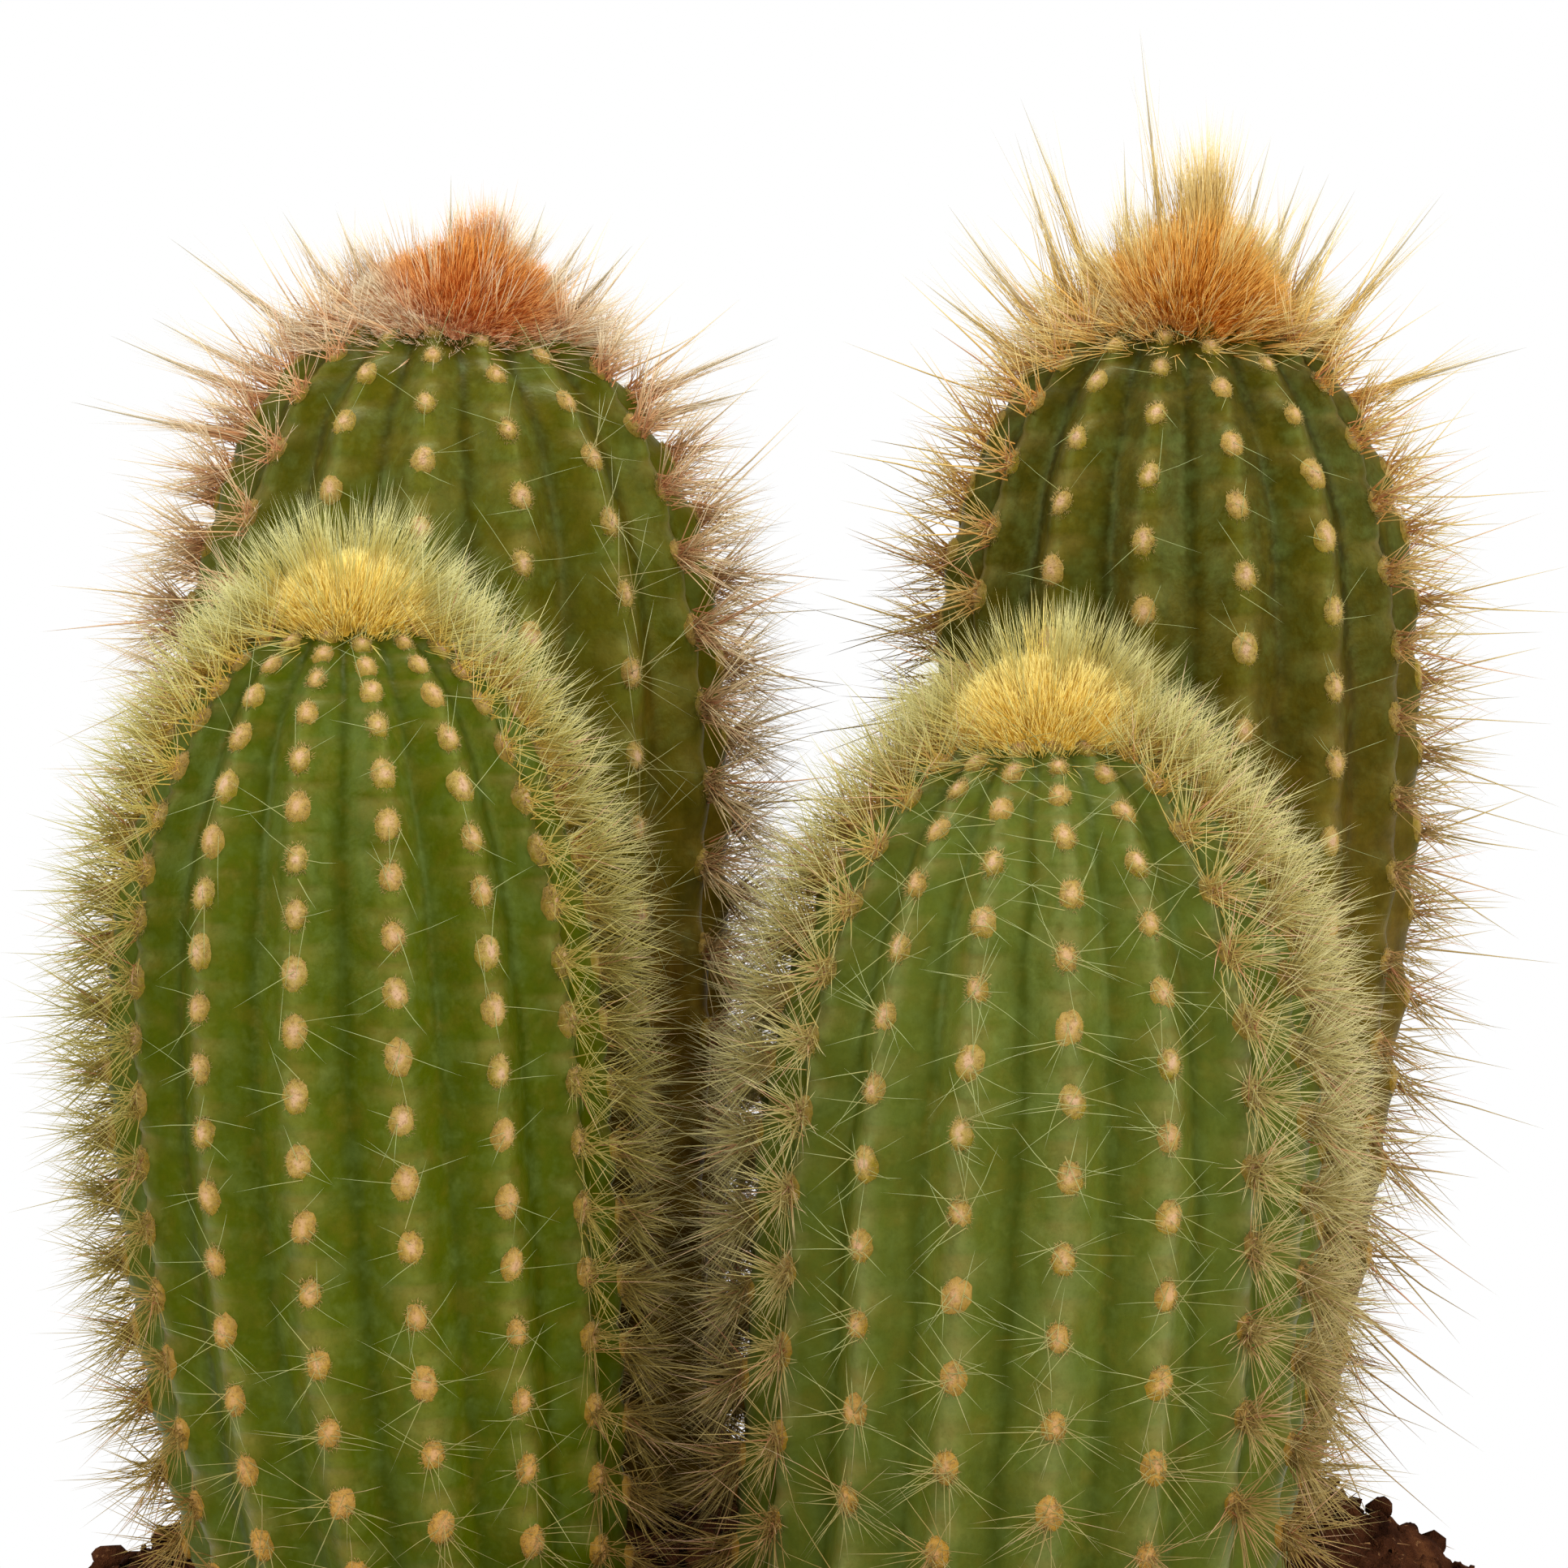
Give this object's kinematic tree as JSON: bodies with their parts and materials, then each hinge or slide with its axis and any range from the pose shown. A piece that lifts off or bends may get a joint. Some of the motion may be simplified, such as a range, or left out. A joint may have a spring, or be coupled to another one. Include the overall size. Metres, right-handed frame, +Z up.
{
  "type": "potted columnar cactus cluster",
  "caption": "Cluster of ribbed, columnar cactus stems with rows of spines and tufted crowns, standing in a mound of soil in a plain tapered clay pot with a collar.",
  "frame": {"origin": "middle of the pot's flat underside", "axes": "+Z up; -Y is the front, where the two shorter, golden-crowned stems stand; +X to the right as seen from the front"},
  "size_m": [0.132, 0.132, 0.2456],
  "materials": {
    "clay": "matte",
    "soil": "matte",
    "skin_front": "satin",
    "skin_back": "satin",
    "crown_golden": "matte",
    "crown_orange": "matte"
  },
  "bodies": {
    "root": {"pot": "clay", "soil": "soil", "stem_front_left": "skin_front", "stem_front_right": "skin_front", "stem_back_left": "skin_back", "stem_back_right": "skin_back", "crown_front_left": "crown_golden", "crown_front_right": "crown_golden", "crown_back_left": "crown_orange", "crown_back_right": "crown_orange"}
  },
  "joints": []
}
